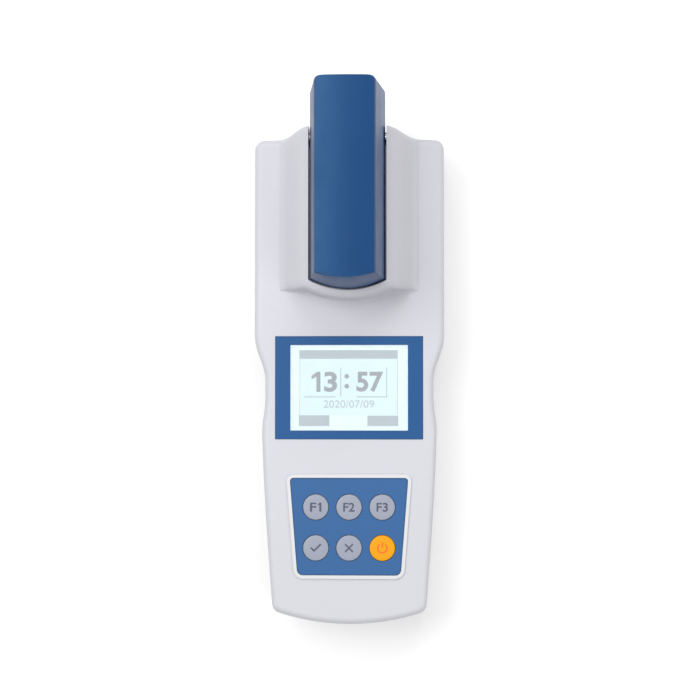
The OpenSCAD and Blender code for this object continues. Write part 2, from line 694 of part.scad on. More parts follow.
module hinge_pin() color(steel) centred() translate([0, pin_y, pin_z]) along_x(pin_r, -pin_half, pin_half);

module display_bezel() color(bezel_color) centred() translate([0, display_y, 0]) difference() {
    slab(bezel_w, bezel_l, bezel_z, face_z + bezel_proud);
    slab(window_w, window_l, bezel_z - past, face_z + past);
}
module display_window() color("#E6F5F9") centred() translate([0, display_y, 0])
    slab(pane_w, pane_l, ceiling_z, bezel_z);
frame_top = ceiling_z - 0.05;
module lcd_frame() color(steel) centred() translate([0, display_y, 0]) difference() {
    slab(frame_w, frame_l, frame_top - frame_h, frame_top);
    slab(frame_w - 2 * frame_t, frame_l - 2 * frame_t, frame_top - frame_h - past, frame_top - frame_t);
    slab(window_w + 1, window_l + 1, frame_top - past, frame_top + past);
}
glass_t = 1.4;
glass_w = frame_w - 2 * frame_t - 2 * fit_gap;
glass_l = frame_l - 2 * frame_t - 2 * fit_gap;
glass_top = frame_top - frame_t;
module lcd_glass() color("#BFE3EA") centred() translate([0, display_y, 0])
    slab(glass_w, glass_l, glass_top - glass_t, glass_top);
module lcd_backlight() color("#F4F6F8") centred() translate([0, display_y, 0])
    slab(glass_w, glass_l, board_top, glass_top - glass_t);

module keypad_overlay() color(overlay_color) centred() difference() {
    overlay_prism(0, overlay_z, overlay_z + overlay_t);
    for (x = key_x, y = [key_row_y, key_high_y]) translate([x, y, 0])
        disc(key_d / 2 + key_gap, overlay_z - past, overlay_z + overlay_t + past);
}
// A key: a slightly domed cap on a flange, with a stem below
module key(x, y) centred() translate([x, y, 0]) rotate_extrude() polygon([
    [0, stem_z], [stem_r, stem_z], [stem_r, flange_z],
    [flange_r, flange_z], [flange_r, flange_z + flange_t], [key_d / 2, flange_z + flange_t],
    [key_d / 2, key_top_z - key_edge], [key_d / 2 - key_edge, key_top_z - key_edge / 4], [0, key_top_z]]);
module key_f1() color(key_color) key(key_x[0], key_high_y);
module key_f2() color(key_color) key(key_x[1], key_high_y);
module key_f3() color(key_color) key(key_x[2], key_high_y);
module key_enter() color(key_color) key(key_x[0], key_row_y);
module key_cancel() color(key_color) key(key_x[1], key_row_y);
module key_power() color(power_color) key(key_x[2], key_row_y);
dome_r = 4.2;
module key_domes() color(steel) centred() for (x = key_x, y = [key_row_y, key_high_y])
    translate([x, y, keypad_board_top]) rotate_extrude() polygon([
        [0, 0], [dome_r, 0], [dome_r - 0.2, 0.25], [dome_r - 1.2, dome_h - 0.1], [0, dome_h]]);
module keypad_board() color(board_color) centred() difference() {
    translate([0, keypad_mid_y, 0])
        rounded_slab(keypad_board_w, keypad_board_l, 2, keypad_board_low, keypad_board_top);
    at_each(keypad_screw_at) disc(small_r + loose, 0, face_z);
}
// Small screw from below: pan head under what it holds, shank up into its boss
module small_screw(z, l) {
    disc(small_head_r, z - small_head_h, z);
    disc(small_r, z - join, z + l);
}
module keypad_screws() color(steel) centred() at_each(keypad_screw_at)
    small_screw(keypad_board_low, board_t + 1.8);
module main_board() color(board_color) centred() difference() {
    translate([0, (board_y0 + board_y1) / 2, 0])
        rounded_slab(board_w, board_y1 - board_y0, 2, board_low, board_top);
    at_each(board_holes) disc(small_r + loose, 0, face_z);
}
module board_screws() color(steel) centred() at_each(board_holes) small_screw(board_low, board_t + 3.4);
// Chips and connectors under the main board, placed from the display's middle
plug_l = 4;
plug_h = 3;
keypad_plug_x = 11;
keypad_plug_y = board_y0 + 3;
module chip(x, y, w, l, h) translate([x, y, 0]) slab(w, l, board_low - h, board_low);
module board_chips() color(black) centred() {
    translate([0, display_y, 0]) {
        chip(-8, -4, 10, 10, 1.4);
        chip(10, 0, 7, 5, 1.2);
        chip(10, -12, 5, 4, 1);
        chip(-8, 14, 12, 7, 3);
        chip(12, 16, 8, 8, 5);
    }
    chip(keypad_plug_x, keypad_plug_y + plug_l / 2, 16, plug_l, plug_h);
    chip(0, board_y1 - 3.5, 14, plug_l, plug_h);
}

module cell_holder() color(black) centred() difference() {
    translate([0, well_y, 0]) {
        rounded_slab(holder_w, holder_w, 3, holder_z, holder_body_top);
        rounded_slab(channel_w - 1, holder_w, 3, holder_body_top - join, ear_top);
        rounded_slab(channel_w - 1, 2 * (ear_in + boss_r), 3, ear_top - ear_t, ear_top);
        disc(neck_r, ear_top - join, deck_z);
    }
    disc_at_well(well_r, well_z, deck_z + past);
    translate([0, well_y, beam_z]) {
        along_x(beam_r, -holder_w, holder_w);
        along_x(optic_r + 0.05, optic_x, holder_w);
    }
    at_each(holder_ears) disc(small_r + loose, holder_z, deck_z);
    both_sides() for (p = optic_screws) translate([0, p[0], p[1]])
        along_x(small_r + hold, holder_w / 2 - 3.5, holder_w);
}
module holder_screws() color(steel) centred() at_each(holder_ears)
    small_screw(ear_top - ear_t, ear_t + 2.5);
can_l = 0.3;
lamp_face = holder_w / 2 + can_l;
lamp_r = 2.5;
module lamp() color("#E8F0F4") centred() translate([0, well_y, beam_z]) {
    along_x(lamp_r, -lamp_face, -optic_x - 1.8);
    translate([-optic_x - 1.8, 0, 0]) intersection() {
        sphere(lamp_r);
        translate([0, -2 * lamp_r, -2 * lamp_r]) cube(4 * lamp_r);
    }
    along_x(lamp_r + 0.4, -lamp_face, -holder_w / 2 - 0.02);
}
board_out = lamp_face + 0.02;
module optics_board() difference() {
    translate([board_out, well_y, optics_z]) rotate([0, 90, 0])
        rounded_slab(optics_l, optics_l, 1.5, 0, board_t);
    for (p = optic_screws) translate([0, p[0], p[1]]) along_x(small_r + loose, 0, 2 * holder_w);
}
module lamp_board() color(board_color) centred() mirror([1, 0, 0]) optics_board();
lens_t = 1.4;
filter_end = optic_x + 3;
module lens() color("#DDEFF5") centred() translate([0, well_y, beam_z])
    along_x(optic_r, optic_x + 0.02, optic_x + lens_t);
module filter() color("#C25A3A") centred() translate([0, well_y, beam_z])
    along_x(optic_r, optic_x + lens_t + 0.05, filter_end);
module filter_ring() color(steel) centred() translate([0, well_y, beam_z]) difference() {
    along_x(optic_r, filter_end + 0.05, holder_w / 2);
    along_x(beam_r, optic_x, holder_w);
}
module photodiode() color(steel) centred() translate([0, well_y, beam_z]) {
    along_x(optic_r + 0.4, holder_w / 2 + 0.05, lamp_face);
    along_x(lamp_r, filter_end + 0.2, holder_w / 2 + fit_gap);
}
module detector_board() color(board_color) centred() optics_board();
screw_seat = board_out + board_t;
module optics_screws() color(steel) centred() both_sides() for (p = optic_screws)
    translate([0, p[0], p[1]]) {
        along_x(small_head_r, screw_seat, screw_seat + small_head_h);
        along_x(small_r, holder_w / 2 - 3, screw_seat + fit_gap);
    }

// Flat cable along a route of [y, z] points on its upper side
cable_t = 0.3;
module flat_cable(x, w, route) translate([x, 0, 0]) rotate([90, 0, 90]) linear_extrude(w)
    polygon(concat(route, [for (i = [len(route) - 1:-1:0]) route[i] - [0, cable_t]]));
// From the lamp and detector boards to the underside of the main board
module optics_cables() color("#B98A4A") centred() both_sides() flat_cable(board_out + fit_gap, 4.5, [
    [well_y - optics_l / 2, beam_z], [well_y - optics_l / 2 - 21, beam_z + 1],
    [board_y1 + 2, board_low - 1], [board_y1 - 1.2, board_low]]);
// From the keypad board down to the main board's connector
module keypad_cable() color("#B98A4A") centred() flat_cable(keypad_plug_x - 6, 12, [
    [key_high_y + 10.5, keypad_board_low], [board_y0 - 4.5, keypad_board_low - 0.8],
    [board_y0 - 1.1, board_low - plug_h / 2 + 0.3], [keypad_plug_y - fit_gap, board_low - plug_h / 2]]);

module battery_tray() color(black) centred() translate([0, (bay_y0 + bay_y1) / 2, 0]) difference() {
    slab(bay_w + 2 * tray_t, bay_l + 2 * tray_t, rib_top, tray_top);
    slab(bay_w, bay_l, rib_top - past, tray_top - tray_t);
}
function cell_at(i) = (i - (cell_count - 1) / 2) * cell_pitch;
// Every second cell lies the other way round, with its spring at the other end
module each_cell() for (i = [0:cell_count - 1]) translate([cell_at(i), (bay_y0 + bay_y1) / 2, cell_z])
    mirror([0, i % 2, 0]) translate([0, -bay_l / 2, 0]) rotate([-90, 0, 0]) children();
cell_y = contact_t + spring_l + 0.1;
module batteries() color("#50545C") centred() each_cell() {
    disc(cell_d / 2, cell_y, cell_y + cell_l - nub_l);
    disc(nub_r, cell_y, cell_y + cell_l);
}
module battery_contacts() color(steel) centred() each_cell() {
    slab(10, 9, 0.05, contact_t);
    slab(10, 9, bay_l - contact_t, bay_l - 0.05);
}
// Conical coil, wound of short straight stretches
spring_turns = 4;
wire_r = 0.4;
module coil() {
    per = 10;
    n = spring_turns * per;
    sides = 5;
    function centre(k) = let (t = k / n, r = mix(4.2, 2.6, t))
        [r * cos(360 * k / per), r * sin(360 * k / per), mix(contact_t + wire_r, cell_y - wire_r - 0.05, t)];
    quads = [for (k = [0:n - 1], s = [0:sides - 1])
        let (a = k * sides + s, b = k * sides + (s + 1) % sides) [a, b, b + sides, a + sides]];
    polyhedron(
        points = [for (k = [0:n], s = [0:sides - 1]) let (c = centre(k), out = unit([c.x, c.y, 0]))
            c + wire_r * (cos(360 * s / sides) * out + sin(360 * s / sides) * [0, 0, 1])],
        faces = concat(
            [for (q = quads) [q[0], q[1], q[2]]],
            [for (q = quads) [q[0], q[2], q[3]]],
            [[for (s = [sides - 1:-1:0]) s], [for (s = [0:sides - 1]) n * sides + s]]));
}
module battery_springs() color(steel) centred() each_cell() coil();

module case_feet() color(black) centred() at_each(case_foot_at) disc(foot_r, 0, back_z + foot_in_depth);
module door_feet() color(black) centred() at_each(door_foot_at) disc(foot_r, 0, back_z + foot_in_depth);
module case_screws() color(steel) centred() at_each(case_screw_at) {
    disc(head_r, head_z, head_z + head_h);
    disc(screw_r, head_z, ceiling_z - wall - 1);
}

front_shell();
rear_shell();
case_seal();
light_cover();
cover_liner();
cover_seal();
hinge_pin();
display_bezel();
display_window();
lcd_frame();
lcd_glass();
lcd_backlight();
keypad_overlay();
key_f1();
key_f2();
key_f3();
key_enter();
key_cancel();
key_power();
key_domes();
keypad_board();
keypad_cable();
keypad_screws();
main_board();
board_chips();
board_screws();
cell_holder();
holder_screws();
lamp();
lamp_board();
lens();
filter();
filter_ring();
photodiode();
detector_board();
optics_screws();
optics_cables();
battery_tray();
batteries();
battery_contacts();
battery_springs();
battery_door();
case_feet();
door_feet();
case_screws();
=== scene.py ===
"""Looks and studio for the portable water quality analyzer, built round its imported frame."""

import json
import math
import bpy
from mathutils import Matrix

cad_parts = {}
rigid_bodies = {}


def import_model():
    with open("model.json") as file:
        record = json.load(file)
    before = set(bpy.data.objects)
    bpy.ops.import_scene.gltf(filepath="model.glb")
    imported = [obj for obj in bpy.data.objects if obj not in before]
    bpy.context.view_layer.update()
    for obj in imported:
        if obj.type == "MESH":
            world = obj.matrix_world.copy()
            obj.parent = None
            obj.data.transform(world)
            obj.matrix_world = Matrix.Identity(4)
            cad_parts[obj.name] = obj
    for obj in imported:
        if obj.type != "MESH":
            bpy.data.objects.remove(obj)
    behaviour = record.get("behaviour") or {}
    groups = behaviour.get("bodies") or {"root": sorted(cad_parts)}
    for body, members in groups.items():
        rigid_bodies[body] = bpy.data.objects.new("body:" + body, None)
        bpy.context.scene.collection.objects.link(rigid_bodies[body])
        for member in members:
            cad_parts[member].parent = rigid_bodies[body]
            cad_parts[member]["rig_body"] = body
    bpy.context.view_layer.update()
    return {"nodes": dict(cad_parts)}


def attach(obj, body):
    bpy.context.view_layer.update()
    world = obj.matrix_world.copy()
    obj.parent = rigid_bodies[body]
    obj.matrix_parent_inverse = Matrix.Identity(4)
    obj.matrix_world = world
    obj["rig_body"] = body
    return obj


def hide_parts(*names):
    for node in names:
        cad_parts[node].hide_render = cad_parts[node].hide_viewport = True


bl_info = {
    "name": "Portable Water Quality Analyzer",
    "version": (1, 0, 0),
    "blender": (4, 5, 0),
    "location": "3D View > Sidebar > Analyzer",
    "description": "Dresses the analyzer's case, cover, display, keypad and inner parts",
    "category": "Object",
}

import bmesh
import bpy
from bpy.props import FloatProperty, FloatVectorProperty, PointerProperty
from mathutils import Matrix, Vector

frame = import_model()
NODES = frame["nodes"]
MM = 0.001


# Sizes and colours that a user may change

def colour_prop(name, description, default):
    return FloatVectorProperty(name=name, description=description, subtype="COLOR", size=3,
                               min=0, max=1, default=default)


def length_prop(name, description, default):
    return FloatProperty(name=name, description=description, subtype="DISTANCE", unit="LENGTH",
                         min=0, default=default)


class AnalyzerColours(bpy.types.PropertyGroup):
    case: colour_prop("Case", "Pale grey of the moulded case", (0.61, 0.61, 0.655))
    rim: colour_prop("Keypad rim", "Paler frame round the keypad", (0.70, 0.70, 0.72))
    cover: colour_prop("Light cover", "Deep blue of the cover", (0.007, 0.042, 0.142))
    bezel: colour_prop("Display bezel", "Blue of the display frame", (0.016, 0.090, 0.255))
    overlay: colour_prop("Keypad overlay", "Lighter blue of the keypad film", (0.038, 0.127, 0.313))
    key: colour_prop("Key", "Grey of the key caps", (0.31, 0.335, 0.41))
    power: colour_prop("Power key", "Yellow of the power key", (0.84, 0.35, 0.003))
    legend: colour_prop("Legend", "Dark grey of the key legends", (0.07, 0.08, 0.125))
    power_legend: colour_prop("Power legend", "Orange of the power legend", (0.85, 0.13, 0.01))
    field: colour_prop("Display field", "Lit field of the display", (0.76, 0.92, 0.97))
    segment: colour_prop("Display segment", "Grey of the dark display segments", (0.36, 0.38, 0.42))


class AnalyzerSizes(bpy.types.PropertyGroup):
    edge: length_prop("Case edge", "Radius that softens the case's sharp edges", 0.35 * MM)
    fine_edge: length_prop("Fine edge", "Radius that softens small pieces", 0.2 * MM)
    ink: length_prop("Ink", "Thickness of printed legends", 0.02 * MM)
    camera_height: length_prop("Camera height", "Height of the camera above the face", 800 * MM)
    camera_side: length_prop("Camera side", "Camera's offset towards the right side", 28 * MM)
    camera_foot: length_prop("Camera foot", "Camera's offset towards the keypad end", 20 * MM)
    lens: FloatProperty(name="Lens", description="Focal length in millimetres", min=10, default=90.5)


def colour(name):
    return (*getattr(bpy.context.scene.analyzer_colours, name), 1.0)


def size(name):
    return getattr(bpy.context.scene.analyzer_sizes, name)


# Node graphs

class Graph:
    """Adds nodes to a shader tree and feeds their inputs with values or other nodes' sockets."""

    def __init__(self, tree):
        self.tree = tree

    def feed(self, node, key, value):
        if isinstance(value, bpy.types.NodeSocket):
            self.tree.links.new(value, node.inputs[key])
        else:
            node.inputs[key].default_value = value

    def add(self, kind, values=None, **settings):
        node = self.tree.nodes.new(kind)
        for key, value in settings.items():
            setattr(node, key, value)
        for key, value in (values or {}).items():
            self.feed(node, key, value)
        return node

    def math(self, operation, a, b=0.0, c=0.0):
        return self.add("ShaderNodeMath", {0: a, 1: b, 2: c}, operation=operation).outputs[0]

    def mix(self, factor, a, b, blend="MIX"):
        values = {0: factor, 6: a, 7: b}
        return self.add("ShaderNodeMix", values, data_type="RGBA", blend_type=blend).outputs[2]

    def ranged(self, value, low, high, to_low, to_high):
        return self.add("ShaderNodeMapRange", {0: value, 1: low, 2: high, 3: to_low, 4: to_high}).outputs[0]

    def place(self, stretch=(1, 1, 1)):
        where = self.add("ShaderNodeTexCoord").outputs["Object"]
        return self.add("ShaderNodeMapping", {"Vector": where, "Scale": stretch}).outputs[0]

    def noise(self, scale, detail=2.0, vector=None, distortion=0.0):
        values = {"Scale": scale, "Detail": detail, "Distortion": distortion}
        values["Vector"] = self.place() if vector is None else vector
        return self.add("ShaderNodeTexNoise", values).outputs[0]

    def grey(self, value):
        return self.add("ShaderNodeCombineColor", {i: value for i in range(3)}).outputs[0]

    def bump(self, height, depth):
        return self.add("ShaderNodeBump", {"Height": height, "Distance": depth, "Strength": 1.0}).outputs[0]


def shared(name, inputs, outputs):
    """An empty node group with its sockets, and its graph, input and output nodes."""
    tree = bpy.data.node_groups.new(name, "ShaderNodeTree")
    for label, kind, value in inputs:
        socket = tree.interface.new_socket(name=label, in_out="INPUT", socket_type=f"NodeSocket{kind}")
        socket.default_value = value
    for label, kind in outputs:
        tree.interface.new_socket(name=label, in_out="OUTPUT", socket_type=f"NodeSocket{kind}")
    graph = Graph(tree)
    return graph, graph.add("NodeGroupInput").outputs, graph.add("NodeGroupOutput")


def moulded_skin():
    """Eroded mould grain, slow drifts of tone and uneven gloss of a moulded plastic."""
    graph, given, out = shared(
        "moulded skin",
        [("Colour", "Color", (0.5, 0.5, 0.5, 1)), ("Drift", "Float", 0.03), ("Roughness", "Float", 0.4),
         ("Grain", "Float", 2200.0), ("Depth", "Float", 0.00002)],
        [("Colour", "Color"), ("Roughness", "Float"), ("Normal", "Vector")])
    cloud = graph.noise(22.0, 3.0)
    fine = graph.noise(given["Grain"], 3.0)
    tone = graph.math("MULTIPLY_ADD", graph.math("SUBTRACT", cloud, 0.5), given["Drift"], 1.0)
    speck = graph.ranged(fine, 0.3, 0.7, 0.985, 1.015)
    grey = graph.grey(graph.math("MULTIPLY", tone, speck))
    graph.feed(out, "Colour", graph.mix(1.0, given["Colour"], grey, "MULTIPLY"))
    patch = graph.math("SUBTRACT", graph.noise(70.0, 4.0), 0.5)
    graph.feed(out, "Roughness", graph.math("MULTIPLY_ADD", patch, 0.16, given["Roughness"]))
    graph.feed(out, "Normal", graph.bump(fine, given["Depth"]))
    return graph.tree


def handling_marks():
    """Faint smears and rub marks that fingers leave on a glossy face."""
    graph, given, out = shared(
        "handling marks", [("Amount", "Float", 0.2), ("Roughness", "Float", 0.2)],
        [("Roughness", "Float"), ("Mask", "Float")])
    smear = graph.ranged(graph.noise(34.0, 5.0, graph.place((1.0, 0.45, 1.0)), 1.4), 0.5, 0.72, 0.0, 1.0)
    rub = graph.ranged(graph.noise(900.0, 2.0, graph.place((0.12, 1.0, 1.0))), 0.35, 0.65, 0.5, 1.0)
    mask = graph.math("MULTIPLY", smear, rub)
    graph.feed(out, "Mask", mask)
    graph.feed(out, "Roughness", graph.math("MULTIPLY_ADD", mask, given["Amount"], given["Roughness"]))
    return graph.tree


def corner_grime():
    """Painted shade: soft darkening where faces meet in a groove, taken from ambient occlusion."""
    graph, given, out = shared(
        "corner grime", [("Reach", "Float", 0.002), ("Amount", "Float", 0.3)], [("Shade", "Float")])
    hidden = graph.add("ShaderNodeAmbientOcclusion", {"Distance": given["Reach"]}, samples=6)
    open_sky = graph.ranged(hidden.outputs["AO"], 0.1, 0.9, 0.0, 1.0)
    shade = graph.math("MULTIPLY_ADD", graph.math("SUBTRACT", open_sky, 1.0), given["Amount"], 1.0)
    graph.feed(out, "Shade", shade)
    return graph.tree


def drawn_metal():
    """Fine drawing lines along one axis, with the patchy gloss of plated metal."""
    graph, given, out = shared(
        "drawn metal",
        [("Colour", "Color", (0.6, 0.6, 0.62, 1)), ("Roughness", "Float", 0.3), ("Depth", "Float", 0.000006)],
        [("Colour", "Color"), ("Roughness", "Float"), ("Normal", "Vector")])
    line = graph.noise(3200.0, 2.0, graph.place((0.06, 1.0, 1.0)))
    patch = graph.math("SUBTRACT", graph.noise(180.0, 3.0), 0.5)
    tint = graph.grey(graph.ranged(line, 0.3, 0.7, 0.9, 1.06))
    graph.feed(out, "Colour", graph.mix(1.0, given["Colour"], tint, "MULTIPLY"))
    graph.feed(out, "Roughness", graph.math("MULTIPLY_ADD", patch, 0.25, given["Roughness"]))
    graph.feed(out, "Normal", graph.bump(line, given["Depth"]))
    return graph.tree


def pixel_grid():
    """Thin gaps between a display's dots, as a mask."""
    graph, given, out = shared("pixel grid", [("Pitch", "Float", 0.00036)], [("Gap", "Float")])
    axes = graph.add("ShaderNodeSeparateXYZ", {0: graph.place()}).outputs
    gaps = []
    for axis in axes[:2]:
        phase = graph.math("FRACT", graph.math("DIVIDE", axis, given["Pitch"]))
        gaps.append(graph.math("LESS_THAN", phase, 0.14))
    graph.feed(out, "Gap", graph.math("MAXIMUM", *gaps))
    return graph.tree


def copper_tracks():
    """Straight tracks and pads under solder mask."""
    graph, given, out = shared(
        "copper tracks", [("Scale", "Float", 420.0)], [("Track", "Float"), ("Pad", "Float")])
    cells = graph.add(
        "ShaderNodeTexVoronoi", {"Vector": graph.place(), "Scale": given["Scale"], "Randomness": 0.75},
        feature="F1", distance="CHEBYCHEV").outputs
    graph.feed(out, "Track", graph.math("LESS_THAN", graph.math("PINGPONG", cells["Distance"], 0.16), 0.05))
    graph.feed(out, "Pad", graph.math("LESS_THAN", cells["Distance"], 0.07))
    return graph.tree


SHARED = (moulded_skin, handling_marks, corner_grime, drawn_metal, pixel_grid, copper_tracks)


def grouped(name):
    """The node group of that name, built the first time that it is asked for."""
    builders = {build.__name__.replace("_", " "): build for build in SHARED}
    return bpy.data.node_groups.get(name) or builders[name]()


# Finishes

def blank(name, **sockets):
    """A material with its graph and Principled shader, and plain values on the shader's own sockets."""
    made = bpy.data.materials.new(name)
    made.use_nodes = True
    shader = made.node_tree.nodes["Principled BSDF"]
    for key, value in sockets.items():
        shader.inputs[key.replace("_", " ")].default_value = value
    return made, Graph(made.node_tree), shader


def effect(graph, name, values):
    """Outputs of a shared node group placed in a material with its own values."""
    return graph.add("ShaderNodeGroup", values, node_tree=grouped(name)).outputs


def plastic(name, tone, roughness, drift=0.03, grain=2200.0, depth=0.00002, painted_shade=0.0, marks=0.0, **sockets):
    """Moulded plastic or rubber, with painted shade in its grooves and finger marks where they are asked for.
    """
    made, graph, shader = blank(name, **sockets)
    skin = effect(graph, "moulded skin", {"Colour": tone, "Drift": drift, "Roughness": roughness,
                                          "Grain": grain, "Depth": depth})
    body, gloss = skin["Colour"], skin["Roughness"]
    # Painted shade: ambient occlusion darkens the colour in grooves and recesses
    if painted_shade:
        shade = effect(graph, "corner grime", {"Amount": painted_shade})["Shade"]
        body = graph.mix(1.0, body, graph.grey(shade), "MULTIPLY")
    if marks:
        gloss = effect(graph, "handling marks", {"Amount": marks, "Roughness": gloss})["Roughness"]
    graph.feed(shader, "Base Color", body)
    graph.feed(shader, "Roughness", gloss)
    graph.feed(shader, "Normal", skin["Normal"])
    return made


def case_plastic(name):
    # Painted shade darkens the case's grooves and creases
    return plastic(name, colour("case"), 0.46, 0.035, 2400.0, 0.000016, painted_shade=0.12, marks=0.05)


def rim_plastic(name):
    return plastic(name, colour("rim"), 0.38, 0.02, 2400.0, 0.00001)


def cover_plastic(name):
    return plastic(name, colour("cover"), 0.36, 0.08, 2600.0, 0.000012, marks=0.08,
                   Specular_IOR_Level=0.42, Specular_Tint=(0.35, 0.7, 1.0, 1))


def bezel_plastic(name):
    # Painted shade darkens the bezel round its window and in its grooves
    return plastic(name, colour("bezel"), 0.42, 0.05, 3000.0, 0.00001, painted_shade=0.25, marks=0.08,
                   Specular_IOR_Level=0.25)


def overlay_film(name):
    # Painted shade darkens the film round the key holes as a ring of shadow
    return plastic(name, colour("overlay"), 0.5, 0.05, 3600.0, 0.000014, painted_shade=0.5, marks=0.08,
                   Specular_IOR_Level=0.25)


def key_plastic(name):
    return plastic(name, colour("key"), 0.48, 0.04, 3000.0, 0.000014)


def power_plastic(name):
    return plastic(name, colour("power"), 0.45, 0.04, 3000.0, 0.000012, Specular_IOR_Level=0.25)


def legend_ink(name):
    return plastic(name, colour("legend"), 0.55, 0.1, 5200.0, 0.000006)


def power_ink(name):
    return plastic(name, colour("power_legend"), 0.55, 0.1, 5200.0, 0.000006)


def black_plastic(name):
    return plastic(name, (0.018, 0.019, 0.021, 1), 0.5, 0.2, 1800.0, 0.00003, marks=0.1)


def soft_rubber(name):
    # Painted shade darkens the rubber's grooves
    return plastic(name, (0.022, 0.022, 0.023, 1), 0.82, 0.3, 1200.0, 0.00004, painted_shade=0.2)


def diffuser_plastic(name):
    return plastic(name, (0.88, 0.9, 0.92, 1), 0.5, 0.03)


def metal(name, tone, roughness, depth=0.000006):
    made, graph, shader = blank(name, Metallic=1.0)
    drawn = effect(graph, "drawn metal", {"Colour": tone, "Roughness": roughness, "Depth": depth})
    for key, source in (("Base Color", "Colour"), ("Roughness", "Roughness"), ("Normal", "Normal")):
        graph.feed(shader, key, drawn[source])
    return made


def plated_steel(name):
    return metal(name, (0.62, 0.62, 0.63, 1), 0.3)


def spring_steel(name):
    return metal(name, (0.7, 0.69, 0.66, 1), 0.24, 0.000003)


def glass(name, tone, ior, roughness, marks):
    """Clear or tinted glass with faint finger marks in its gloss."""
    made, graph, shader = blank(name, Base_Color=tone, Transmission_Weight=1.0, IOR=ior)
    gloss = effect(graph, "handling marks", {"Amount": marks, "Roughness": roughness})["Roughness"]
    graph.feed(shader, "Roughness", gloss)
    return made


def window_glass(name):
    return glass(name, (0.97, 0.99, 1.0, 1), 1.46, 0.02, 0.1)


def lens_glass(name):
    return glass(name, (0.92, 0.97, 0.98, 1), 1.52, 0.01, 0.05)


def filter_glass(name):
    return glass(name, (0.75, 0.18, 0.06, 1), 1.5, 0.03, 0.04)


def lit(name, tone, strength, drift=0.04, dots=0.0):
    """A face of the display that glows with the light behind it."""
    made, graph, shader = blank(name, Roughness=0.25, Emission_Strength=strength)
    pale = graph.ranged(graph.noise(30.0, 2.0), 0.3, 0.7, 1.0 - drift, 1.0)
    if dots:
        gap = effect(graph, "pixel grid", {})["Gap"]
        pale = graph.math("MULTIPLY", pale, graph.ranged(gap, 0.0, 1.0, 1.0, 1.0 - dots))
    face = graph.mix(1.0, tone, graph.grey(pale), "MULTIPLY")
    graph.feed(shader, "Emission Color", face)
    graph.feed(shader, "Base Color", graph.mix(1.0, face, (0.25, 0.25, 0.25, 1), "MULTIPLY"))
    return made


def lcd_border(name):
    return lit(name, (0.84, 0.96, 0.98, 1), 0.85, 0.05)


def lcd_field(name):
    return lit(name, colour("field"), 0.85, 0.06, dots=0.025)


def lcd_segment(name):
    return lit(name, colour("segment"), 0.85, 0.03, dots=0.06)


def lcd_faint(name):
    """Bars and small figures, paler than the segments because the field shows through them."""
    share = 0.72
    tone = tuple(share * dark + (1 - share) * pale for dark, pale in zip(colour("segment"), colour("field")))
    return lit(name, tone, 0.85, 0.03)


def board_mask(name):
    made, graph, shader = blank(name, Coat_Weight=0.4)
    made_of = effect(graph, "copper tracks", {})
    green = graph.mix(made_of["Track"], (0.012, 0.1, 0.045, 1), (0.03, 0.19, 0.07, 1))
    graph.feed(shader, "Base Color", graph.mix(made_of["Pad"], green, (0.72, 0.56, 0.3, 1)))
    graph.feed(shader, "Roughness", graph.ranged(graph.noise(240.0, 3.0), 0.3, 0.7, 0.3, 0.45))
    graph.feed(shader, "Normal", graph.bump(made_of["Track"], 0.00003))
    return made


def flat_film(name):
    """Flat cable: copper cores side by side in an amber film."""
    made, graph, shader = blank(name, Roughness=0.35)
    across = graph.add("ShaderNodeSeparateXYZ", {0: graph.place()}).outputs[0]
    core_pitch, core_share = 1.0 * MM, 0.6
    core = graph.math("LESS_THAN", graph.math("FRACT", graph.math("DIVIDE", across, core_pitch)), core_share)
    graph.feed(shader, "Base Color", graph.mix(core, (0.5, 0.26, 0.07, 1), (0.36, 0.16, 0.05, 1)))
    graph.feed(shader, "Normal", graph.bump(core, 0.00004))
    return made


def cell_sleeve(name):
    return plastic(name, (0.05, 0.055, 0.065, 1), 0.28, 0.2, 900.0, 0.000006, marks=0.15)


FINISHES = (
    case_plastic, rim_plastic, cover_plastic, bezel_plastic, overlay_film, key_plastic, power_plastic,
    legend_ink, power_ink, black_plastic, soft_rubber, diffuser_plastic, plated_steel, spring_steel,
    window_glass, lens_glass, filter_glass, lcd_border, lcd_field, lcd_segment, lcd_faint, board_mask,
    flat_film, cell_sleeve)


def finish(name):
    """The material of that name, made the first time that it is asked for."""
    return bpy.data.materials.get(name) or {build.__name__: build for build in FINISHES}[name](name)


# Modelling helpers, in millimetres of the row frame

def dress(finish_name, *nodes):
    """CAD nodes that keep their shape get a finish."""
    for node in nodes:
        piece = NODES[node]
        if not piece.material_slots:
            piece.data.materials.append(None)
        for slot in piece.material_slots:
            slot.material = finish(finish_name)


def settle(piece, node, *finish_names, replace=True, slot=None):
    """Finishes and body of a new piece, which goes where the node goes. The slot argument is not used."""
    for name in finish_names:
        piece.data.materials.append(finish(name))
    if replace:
        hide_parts(node)
    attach(piece, NODES[node]["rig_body"])
    return piece


def new_piece(name, bm):
    """An object in the scene with the mesh, which is then freed."""
    mesh = bpy.data.meshes.new(name)
    bm.to_mesh(mesh)
    bm.free()
    piece = bpy.data.objects.new(name, mesh)
    bpy.context.scene.collection.objects.link(piece)
    return piece


def smooth(piece, angle=32.0):
    """Smooth shading, with edges sharper than the angle kept sharp."""
    piece.data.shade_smooth()
    piece.data.set_sharp_from_angle(angle=math.radians(angle))
    return piece


